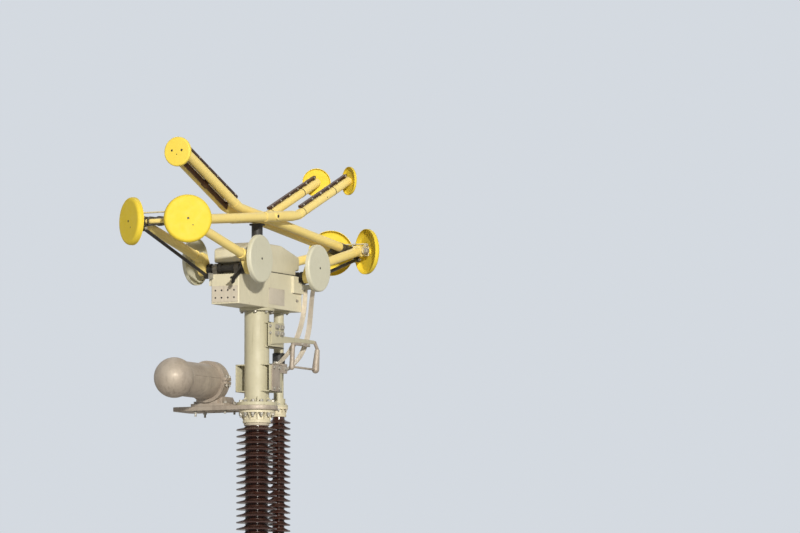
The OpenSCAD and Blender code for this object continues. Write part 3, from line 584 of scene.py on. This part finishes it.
# Bus tube end: rolled aluminium tube with its long seam and a welded ball that shields the end.
# It lies in a cast clamp of two halves on a foot, which is bolted through the terminal plate.
def turned(start, way, stations, sides=32):
    """Turned piece that runs from a point along a direction, through distances and radii."""
    bpy.ops.object.select_all(action="DESELECT")
    at, wide = stations[0]
    bpy.ops.mesh.primitive_circle_add(vertices=sides, radius=wide, fill_type="NGON")
    piece = bpy.context.object
    bpy.ops.object.mode_set(mode="EDIT")
    bpy.ops.mesh.select_all(action="SELECT")
    for along, radius in stations[1:]:
        bpy.ops.mesh.extrude_region_move(TRANSFORM_OT_translate={"value": (0, 0, along - at)})
        bpy.ops.transform.resize(value=(radius / wide, radius / wide, 1),
                                 center_override=(0, 0, along - stations[0][0]))
        at, wide = along, radius
    bpy.ops.mesh.select_all(action="SELECT")
    bpy.ops.mesh.normals_make_consistent(inside=False)
    bpy.ops.object.mode_set(mode="OBJECT")
    turn = Vector(way).to_track_quat("Z", "Y")
    piece.matrix_world = Matrix.LocRotScale(Vector(start) + stations[0][0] * Vector(way), turn, None)
    return piece


bus_y, bus_z, bus_r = 0.320, 4.815, 0.125
tube_open_end, ball_along, ball_r = -0.062, 0.572, 0.144
rounding = [math.radians(turn) for turn in range(-28, 85, 7)]
tube = turned((tube_open_end, bus_y, bus_z), (-1, 0, 0), [(0, 0.121), (0.004, bus_r), (0.503, bus_r)]
              + [(ball_along + ball_r * math.sin(turn), ball_r * math.cos(turn)) for turn in rounding]
              + [(ball_along + ball_r, 0.002)], 72)
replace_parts(settle("bus_tube_with_ball", [tube], "stand", aluminium),
            "bus_tube_end")


def weld_ripples(piece, depth, pitch):
    """Ripples a smooth bead the way a weld sets."""
    ripple = bpy.data.textures.new("weld_ripple", "CLOUDS")
    ripple.noise_scale = pitch
    push = piece.modifiers.new("ripple", "DISPLACE")
    push.texture = ripple
    push.texture_coords = "LOCAL"
    push.strength = depth
    bpy.context.view_layer.objects.active = piece
    bpy.ops.object.modifier_apply(modifier=push.name)
    return piece


seam_y, seam_z = bus_y - 0.1232, bus_z + 0.021
seam = round_bar((-0.176, seam_y, seam_z), (-0.566, seam_y, seam_z), 0.0036, 10)
pick_faces(seam, lambda place, normal: abs(normal.z) < 0.5)
bpy.ops.mesh.subdivide(number_cuts=24)
bpy.ops.object.mode_set(mode="OBJECT")
bpy.ops.object.select_all(action="DESELECT")
bpy.ops.mesh.primitive_torus_add(major_segments=96, minor_segments=8, major_radius=0.1255,
                                 minor_radius=0.0042, location=(-0.567, bus_y, bus_z),
                                 rotation=(0, math.pi / 2, 0))
ball_bead = bpy.context.object
settle("bus_tube_welds", [weld_ripples(seam, 0.0018, 0.006), weld_ripples(ball_bead, 0.0022, 0.008)],
       "stand", aluminium, 60)


def cut_off(piece, point, normal):
    """Cuts away what lies past a plane, the way its normal points, and closes the cut."""
    only(piece)
    bpy.ops.object.mode_set(mode="EDIT")
    bpy.ops.mesh.select_all(action="SELECT")
    bpy.ops.mesh.bisect(plane_co=point, plane_no=normal, use_fill=True, clear_outer=True)
    bpy.ops.object.mode_set(mode="OBJECT")
    return piece


clamp = [cut_off(hollow_ring((-0.170, bus_y, bus_z), (-0.085, bus_y, bus_z), 0.149, 0.0238),
                 (0, 0, bus_z + half * 0.0015), (0, 0, -half)) for half in (-1, 1)]
clamp += [plate((0.077, 0.020, 0.0225), (-0.1275, bus_y + side * 0.152, bus_z + half * 0.01275), 0.003)
          for side in (-1, 1) for half in (-1, 1)]
clamp += [plate((0.230, 0.272, 0.020), (-0.035, bus_y, palm_top + 0.010), 0.003),
          plate((0.055, 0.152, 0.030), (-0.1165, bus_y, palm_top + 0.031), 0.004)]
web = [(-0.128, -0.160), (0.070, -0.160), (0.070, -0.132), (0.044, -0.105), (-0.112, -0.105),
       (-0.124, -0.112), (-0.128, -0.124)]
clamp += [cut_plate([(x, bus_z + z) for x, z in web], bus_y + side * 0.072, bus_y + side * 0.104, 0.003)
          for side in (-1, 1)]
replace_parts(settle("bus_tube_clamp", clamp, "stand", aluminium), "bus_clamp")

foot_xs, foot_near_y, foot_far_y = (-0.105, 0.035), bus_y - 0.120, bus_y + 0.120
pocket_roof = 4.626
fasten("clamp_foot_bolts", [((x, y, palm_top + 0.020), up) for x in foot_xs
                            for y in (foot_near_y, foot_far_y)], 0.024)
fasten("clamp_foot_nuts", [((x, foot_near_y, pocket_roof), down) for x in foot_xs]
       + [((x, foot_far_y, palm_low), down) for x in foot_xs], 0.024, stud=0.022)
fasten("clamp_ring_bolts", [((x, bus_y + side * 0.1562, bus_z + way[2] * 0.024), way)
                            for x in (-0.148, -0.107) for side in (-1, 1) for way in (up, down)],
       0.017, stud=0.006)

# Neck: a steel tube welded between two flanges with small ribs, in sage grey paint. Brackets of
# folded plate are welded on it low down and near the top.
head_z = 5.65
neck_r = 0.089
neck = [turned((0, 0, palm_top), up, [(0, 0.143), (0.002, 0.145), (0.023, 0.145), (0.025, 0.143),
                                      (0.025, neck_r), (0.677, neck_r), (0.677, 0.124),
                                      (0.679, 0.125), (0.697, 0.125), (0.699, 0.124)], 72)]
rib = [(0.085, 4.664), (0.123, 4.664), (0.123, 4.671), (0.094, 4.703), (0.085, 4.703)]
for step in range(6):
    fin = cut_plate(rib, -0.004, 0.004)
    fin.rotation_euler = (0, 0, math.radians(30 + 60 * step))
    neck.append(fin)
low_bracket, top_bracket = (-0.062, 0.125, -0.911, -0.714), (-0.040, 0.187, -0.593, -0.412)
for (left, right, low, high), face_y in ((low_bracket, -0.139), (low_bracket, 0.139),
                                         (top_bracket, -0.118)):
    inward = 1 if face_y < 0 else -1
    reach = abs(face_y) - 0.040
    wide, middle = right - left, (left + right) / 2
    neck += [plate((wide, reach, 0.008), (middle, face_y + inward * reach / 2, head_z + shelf), 0.001)
             for shelf in (low + 0.004, high - 0.004)]
    neck.append(plate((wide, 0.008, high - low),
                      (middle, face_y + inward * 0.004, head_z + (low + high) / 2), 0.001))
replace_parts(settle("neck_and_brackets", neck, "stand", sage_paint), "head_column")
fasten("neck_flange_bolts", bolt_circle(12, 15, 0.117, 0, palm_top + 0.025, up), 0.024)
fasten("neck_top_bolts", bolt_circle(8, 22.5, 0.108, 0, palm_top + 0.677, down), 0.019)


# Gear housing: a painted steel box under a pressed hood with rounded upper edges, which sits on
# a rubber gasket. A bare cover is screwed on its end, and a blank rating plate on its side.
def at_head(x, y, z):
    """A point in millimetres from the level of the grey discs' centres."""
    return (x / 1000, y / 1000, head_z + z / 1000)


def socket_screw(radius):
    """Low round screw head with a socket sunk in it, facing +Z."""
    screw = round_bar((0, 0, 0), (0, 0, 0.3 * radius), radius, 20)
    pick_faces(screw, lambda place, normal: normal.z > 0.9)
    bpy.ops.mesh.inset(thickness=0.4 * radius)
    bpy.ops.mesh.extrude_region_move(TRANSFORM_OT_translate={"value": (0, 0, -0.25 * radius)})
    bpy.ops.object.mode_set(mode="OBJECT")
    bpy.ops.object.transform_apply(location=True, rotation=True, scale=True)
    return screw


housing_paint = paint("housing_paint", (0.64, 0.60, 0.445), (0.69, 0.65, 0.49), (0.2, 0.16, 0.11),
                      0.5)
coat(housing_paint, "gear_housing")
cover_paint = paint("cover_paint", (0.55, 0.50, 0.41), (0.62, 0.565, 0.47), (0.2, 0.15, 0.1), 0.5)
coat(cover_paint, "end_cover")
dark_steel = bare_metal("greasy_steel", (0.055, 0.052, 0.046), (0.028, 0.026, 0.024), 0.42, 0.6, 0.2)
coat(zinc, "guide_pivots")
oily_zinc = bare_metal("oily_zinc", (0.20, 0.185, 0.15), (0.06, 0.052, 0.042), 0.4, 0.6, 0.5)
coat(oily_zinc, "shaft_bearings")

profile = [(392, -57), (392, -16), (444, -16), (444, 73), (434, 85), (174, 147)]
profile = profile + [(-x, z) for x, z in reversed(profile)]
hood = cut_plate([at_head(x, 0, z)[::2] for x, z in profile], -0.108, 0.108, 0)
only(hood)
for edge in hood.data.edges:
    ends = [hood.data.vertices[end].co for end in edge.vertices]
    edge.select = abs(ends[0].y - ends[1].y) < 0.01 and min(end.z for end in ends) > head_z + 0.08
bpy.ops.object.mode_set(mode="EDIT")
bpy.ops.mesh.select_mode(type="EDGE")
bpy.ops.mesh.bevel(offset=0.014, segments=4, affect="EDGES")
bpy.ops.object.mode_set(mode="OBJECT")
soften(hood, 0.003)
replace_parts(settle("rounded_hood", [hood], "stand", housing_paint), "housing_hood")
gasket = plate((0.786, 0.221, 0.006), at_head(0, 0, -54), 0.001)
settle("hood_gasket", [gasket], "stand", rubber)

cover_seats = [(at_head(-478.5, y, z), (-1, 0, 0)) for y in (-75, -25, 25, 75) for z in (-269, -217)]
settle("end_cover_screws", copies_at(socket_screw(0.0072), cover_seats), "stand",
       dark_steel)
rating = [plate((0.236, 0.002, 0.117), at_head(87, -113, -226.5), 0.0006)]
rating += [round_bar(at_head(x, -113, z), at_head(x, -116, z), 0.004, 12, 0.3)
           for x in (-23, 197) for z in (-176, -277)]
settle("rating_plate", rating, "stand", cover_paint)

# Guide arm and loop: a painted steel arm bolted to the neck's top bracket. A loop of cast legs
# and rod hangs from it round the straps, whose lower contact is bolted to the low bracket.
front = (0, -1, 0)
arm_outline = [(-14, -571), (338, -538), (632, -530), (632, -505), (165, -505), (169, -415), (-14, -415)]
arm_plate = cut_plate([at_head(x, 0, z)[::2] for x, z in arm_outline], -0.132, -0.118)
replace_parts(settle("guide_arm", [arm_plate], "stand", sage_paint), "guide_bracket")

contact = [plate((0.117, 0.008, 0.190), at_head(19.5, -143, -813), 0.001),
           plate((0.060, 0.008, 0.054), at_head(100, -143, -745), 0.001),
           plate((0.062, 0.125, 0.068), at_head(156, -84.5, -738), 0.002)]
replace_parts(settle("strap_contact", contact, "stand", aluminium),
            "strap_terminal")


def hanging_leg(top, foot, radius, foot_radius):
    """Round leg that widens to its foot, which is rounded over."""
    top, foot = Vector(at_head(*top)), Vector(at_head(*foot))
    length = (foot - top).length
    turns = [math.radians(turn) for turn in range(0, 91, 15)]
    end = [(length - foot_radius + foot_radius * math.sin(turn),
            max(foot_radius * math.cos(turn), 0.0005)) for turn in turns]
    stations = [(0, radius - 0.004), (0.004, radius)] + end
    return turned(top, (foot - top).normalized(), stations, 24)


hanger = [(300, -556), (560, -556), (560, -532), (338, -538), (300, -541.7)]
loop = [cut_plate([at_head(x, 0, z)[::2] for x, z in hanger], -0.135, -0.115),
        hanging_leg((313, -125, -552), (293, -125, -738), 0.015, 0.019),
        hanging_leg((688, -125, -566), (655, -125, -740), 0.018, 0.027),
        round_bar(at_head(626, -125, -518), at_head(654, -125, -518), 0.012, 20),
        round_bar(at_head(646, -125, -518), at_head(690, -125, -567), 0.012, 20),
        round_bar(at_head(296, -125, -714), at_head(655, -125, -714), 0.008, 16)]
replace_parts(settle("hanging_loop", loop, "stand", aluminium), "guard_loop")

fasten("guide_bracket_bolts", [(at_head(x, -132, z), front) for x in (45, 120) for z in (-445, -492)],
       0.030)
fasten("head_small_bolts", [(at_head(x, -118, z), front) for x, z in ((-27, -441), (-27, -491))]
       + [(at_head(389, -112, -234), front)]
       + [(at_head(x, -135, -544), front) for x in (430, 528)], 0.017)
fasten("strap_terminal_bolts", [(at_head(x, -147, z), front) for x in (-20, 57) for z in (-738, -888)]
       + [(at_head(x, -147, -738), front) for x in (146, 170)], 0.019)

# Flexible straps: packs of thin aluminium foils that spread a little between their ends, which
# are clamped and bolted to the housing above and to the contact below.
coat(zinc, "strap_clamps")
strap_metal = bare_metal("strap_aluminium", (0.82, 0.745, 0.63), (0.66, 0.59, 0.49), 0.42, 0.3, 0.25,
                         320, 0.0005)
steps, top_steps, free_steps, foot_steps = 84, 6, 70, 8


def bend_through(points, part):
    """A point on the smooth bend that four points pull."""
    rest = 1 - part
    shares = (rest ** 3, 3 * rest ** 2 * part, 3 * rest * part ** 2, part ** 3)
    return sum((share * Vector(point) for share, point in zip(shares, points)), Vector())


def foil(points, offset, width, top, foot):
    """One foil along a bend, straight in its clamps, offset from the middle of its pack."""
    bpy.ops.object.select_all(action="DESELECT")
    bpy.ops.mesh.primitive_grid_add(x_subdivisions=steps, y_subdivisions=2, size=1)
    piece = bpy.context.object
    for corner in piece.data.vertices:
        step = (corner.co.x + 0.5) * steps - top_steps
        part = min(max(step / free_steps, 0), 1)
        spot = bend_through(points, part)
        ahead = bend_through(points, min(part + 0.01, 1)) - bend_through(points, max(part - 0.01, 0))
        out = Vector((-ahead.z, 0, ahead.x)).normalized()
        if step < 0:
            spot, out = spot + Vector((0, 0, -step / top_steps * top)), Vector((1, 0, 0))
        if step > free_steps:
            past = (step - free_steps) / foot_steps
            spot, out = spot - Vector((past * foot, 0, 0)), Vector((0, 0, 1))
        swell = 1 + 1.1 * math.sin(math.pi * part) ** 2
        spot = spot + out * offset * swell
        corner.co = (spot.x, spot.y + corner.co.y * width, spot.z)
    wall = piece.modifiers.new("wall", "SOLIDIFY")
    wall.thickness = 0.0007
    wall.offset = 0
    bpy.ops.object.modifier_apply(modifier=wall.name)
    return piece


short_way = ((475.2, -138, -150), (450, -150, -360), (500, -72, -560), (190, -66, -700.9))
long_way = ((475.2, -203, -150), (665, -60, -330), (760, -66, -640), (190, -62, -775.1))
for name, points in (("short_strap", short_way), ("long_strap", long_way)):
    way = [at_head(*point) for point in points]
    foils = [foil(way, 0.0019 * layer, 0.034, 0.032, 0.054) for layer in (-2, -1, 0, 1, 2)]
    strap = settle(name, foils, "stand", strap_metal, 50)
    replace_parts(strap, "flexible_straps")
fasten("strap_end_bolts", [(at_head(x, -66, -697.9), up) for x in (150, 176)]
       + [(at_head(x, -62, -778.1), down) for x in (150, 176)]
       + [(at_head(488.6, y, -131), (1, 0, 0)) for y in (-138, -203)], 0.019)

# Lower arms: yellow painted light metal tubes on dark greased shafts through the housing, each
# shaft with a forged crank lever. Pale grey green spun discs close the shafts' outer ends.
arm_paint = paint("arm_yellow_paint", (0.95, 0.745, 0.245), (0.96, 0.78, 0.29), (0.40, 0.26, 0.08),
                  0.36, dust=0.15, chips=0.45, bare=(0.20, 0.15, 0.08), gloss=0.25)
coat(arm_paint, "left_lower_arms", "right_lower_arms")
coat(dark_steel, "left_hinge_shaft", "right_hinge_shaft")
grey_paint = paint("disc_grey_paint", (0.62, 0.61, 0.475), (0.65, 0.64, 0.51),
                   (0.27, 0.24, 0.17), 0.42, dust=0.12, chips=0.35, streaks=0.25)
coat(grey_paint, "left_hinge_discs", "right_hinge_discs")

fork = [(0, -30), (60, -16), (150, -14), (160, -28), (190, -28), (190, -10), (174, -8), (174, 8),
        (190, 12), (186, 24), (150, 15), (60, 17), (0, 32)]
hub_r, lever_y, lever_half, disc_face_y = 36, 0.121, 0.007, 0.278
hub = [(hub_r * math.cos(math.radians(turn)), hub_r * math.sin(math.radians(turn)))
       for turn in range(105, 256, 15)]
dip = math.radians(31.5)
for name, side in (("left", -1), ("right", 1)):
    shaft = joint_at[name + "_arm_lift"]
    lever = [(shaft.x + side * (x * math.cos(dip) + z * math.sin(dip)) / 1000,
              shaft.z + (z * math.cos(dip) - x * math.sin(dip)) / 1000) for x, z in fork + hub]
    settle(name + "_crank_lever",
           [cut_plate(lever, side * lever_y - lever_half, side * lever_y + lever_half)],
           name + "_lower", dark_steel)
    disc_seats = [((shaft.x, way * disc_face_y, head_z), (0, way, 0)) for way in (-1, 1)]
    settle(name + "_hinge_disc_screws", copies_at(socket_screw(0.0085), disc_seats),
           name + "_lower", dark_steel)

# Elbows: painted cast brackets on the elbow pins carry bright yellow spun discs, turned outwards,
# each held by two screws. A thin guide rod from the housing keeps each bracket upright.
bracket_paint = paint("elbow_bracket_paint", (0.62, 0.56, 0.36), (0.70, 0.64, 0.44),
                      (0.25, 0.19, 0.10), 0.5, chips=0.6)
coat(bracket_paint, "left_elbow_bracket", "right_elbow_bracket")
coat(dark_steel, "left_guide_rod", "right_guide_rod")
disc_paint = paint("disc_yellow_paint", (0.81, 0.615, 0.045), (0.82, 0.635, 0.06),
                   (0.50, 0.33, 0.03), 0.58, dust=0.12, chips=0.4, bare=(0.55, 0.5, 0.35),
                   streaks=0.25, gloss=0.25)
coat(disc_paint, "left_elbow_discs", "right_elbow_discs")

disc_splay = math.radians(35)
for name, side, arm_y, rod_y in (("left", -1, 0.186, 0.128), ("right", 1, 0.112, -0.068)):
    elbow = joint_at[name + "_elbow"]
    fasten(name + "_elbow_pin_nuts", [((elbow.x, way * (arm_y + 0.054), elbow.z), (0, way, 0))
                                      for way in (-1, 1)], 0.036, name + "_lower", 0.006)
    fasten(name + "_bracket_bolts", [((elbow.x + side * x, way * (arm_y + 0.047), elbow.z + z),
                                      (0, way, 0)) for way in (-1, 1)
                                     for x, z in ((0.040, 0.046), (0.052, -0.018))],
           0.017, name + "_elbow_shields")
    fasten(name + "_guide_pin_nuts", [((elbow.x + side * 0.064, rod_y - 0.018, elbow.z - 0.054),
                                       front)], 0.015, name + "_elbow_shields")
    seats, small_seats = [], []
    for way in (-1, 1):
        outward = Vector((side * math.cos(disc_splay), way * math.sin(disc_splay), 0))
        across = Vector((-way * side * math.sin(disc_splay), math.cos(disc_splay), 0))
        middle = Vector((elbow.x + side * 0.075, way * (arm_y + 0.045), elbow.z)) + 0.012 * outward
        seats.append((middle, outward))
        small_seats.append((middle - 0.034 * across - Vector((0, 0, 0.046)), outward))
    settle(name + "_disc_screws", copies_at(socket_screw(0.008), seats)
           + copies_at(socket_screw(0.0045), small_seats), name + "_elbow_shields",
           dark_steel)

# Upper arms: yellow tubes in steel forks on the elbow pins. Where the pairs cross, the outer arms
# have cast sleeves with bosses, and the inner arms a dark cross tube on the same line.
coat(arm_paint, "outer_arms", "inner_arms")
coat(oily_zinc, "outer_arm_forks", "inner_arm_forks")
coat(dark_steel, "inner_cross_tube")
coat(zinc, "outer_cross_link")

crossing_z, outer_y = 5.992, 0.128
elbow = joint_at["right_elbow"]
rise = math.atan2(crossing_z - elbow.z, elbow.x)
to_crossing = math.hypot(elbow.x, crossing_z - elbow.z)


def on_arm(along, y):
    """A point on the straight part of an outer arm, along it from its elbow."""
    return (along * math.cos(rise) - elbow.x, y, elbow.z + along * math.sin(rise))


castings = [hollow_ring(on_arm(to_crossing - 0.143, way * outer_y),
                        on_arm(to_crossing + 0.300, way * outer_y), 0.0375, 0.0041, 48, 0.0015)
            for way in (-1, 1)]
settle("crossing_castings", castings, "outer_upper", arm_paint)
bosses = [round_bar((0, way * 0.150, crossing_z), (0, way * 0.171, crossing_z), 0.026, 32, 0.08)
          for way in (-1, 1)]
settle("crossing_bosses", bosses, "outer_upper", arm_paint)
boss_seats = [((0, way * 0.171, crossing_z), (0, way, 0)) for way in (-1, 1)]
settle("crossing_screws", copies_at(socket_screw(0.011), boss_seats), "outer_upper",
       dark_steel)

# Contact sections: past the knee each arm carries a copper bar, gone dark brown, which clips with
# bolts hold on its seats. Spun discs in yellow paint close the tips, each held by screws.
copper = bare_metal("tarnished_copper", (0.115, 0.058, 0.032), (0.06, 0.03, 0.018), 0.44, 0.7, 0.3)
coat(copper, "outer_contact_bars", "inner_contact_bars", "inner_centre_rail")
tip_paint = paint("tip_yellow_paint", (0.90, 0.69, 0.10), (0.91, 0.72, 0.12), (0.50, 0.33, 0.03),
                  0.4, dust=0.12, chips=0.4, bare=(0.55, 0.5, 0.35), streaks=0.25, gloss=0.25)
coat(tip_paint, "inner_tip_disc")
coat(disc_paint, "outer_tip_discs")

knee, contact_rise = to_crossing + 0.370, rise + math.radians(16.5)
tip_along, inner_y, face_gap = 0.850, 0.052, 0.026


def on_contact(along, y, lift, side):
    """A point on a contact section, along it from the knee and lifted off its axis."""
    x = knee * math.cos(rise) - elbow.x + along * math.cos(contact_rise) - lift * math.sin(contact_rise)
    z = elbow.z + knee * math.sin(rise) + along * math.sin(contact_rise) + lift * math.cos(contact_rise)
    return Vector((side * x, y, z))


for name, side, y in (("outer", 1, outer_y), ("inner", -1, inner_y)):
    seats = [(on_contact(0.105 + 0.140 * step, way * y + face * 0.012, 0.050, side), (0, face, 0))
             for step in range(6) for way in (-1, 1) for face in (-1, 1)]
    fasten(name + "_contact_bolts", seats, 0.010, name + "_upper")

tips = []
for way in (-1, 1):
    outward = Vector((math.cos(disc_splay), way * math.sin(disc_splay), 0))
    tips.append((on_contact(tip_along, way * outer_y, 0, 1) + face_gap * outward, outward))
settle("outer_tip_screws", copies_at(socket_screw(0.008), tips), "outer_upper",
       dark_steel)
middle, outward = on_contact(tip_along, 0, 0, -1) + Vector((-face_gap, 0, 0)), (-1, 0, 0)
tips = [(middle + Vector((0, y, 0.008)), outward) for y in (-0.039, 0.039)]
small_tip = [(middle + Vector((0, 0, -0.020)), outward)]
settle("inner_tip_screws", copies_at(socket_screw(0.008), tips)
       + copies_at(socket_screw(0.004), small_tip), "inner_upper", dark_steel)

ring_long = 0.008
rings = [hollow_ring(on_contact(along, way * outer_y, 0, 1),
                     on_contact(along + ring_long, way * outer_y, 0, 1), 0.0342, 0.0008, 48, 0.0002)
         for along in (0.077, 0.585) for way in (-1, 1)]
settle("arm_joint_rings", rings, "outer_upper", dark_steel)
side_seats = [(on_contact(0.441, way * 0.1605, 0, 1), (0, way, 0)) for way in (-1, 1)]
settle("arm_side_screws", copies_at(socket_screw(0.006), side_seats), "outer_upper",
       dark_steel)

# Rest post: a moulded block of black rubber on a round foot, screwed on the hood under the
# crossing of the arms, which lie on its top when they are folded.
post_foot, post_top = 5.797, 5.932
post = [turned((0, 0, post_foot), up, [(0, 0.062), (0.002, 0.064), (0.010, 0.064), (0.012, 0.062),
                                       (0.012, 0.040), (0.140, 0.040)], 48),
        plate((0.064, 0.096, 0.014), (0, 0, post_top + 0.007), 0.004)]
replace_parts(settle("rubber_rest_post", post, "stand", rubber), "rest_post")
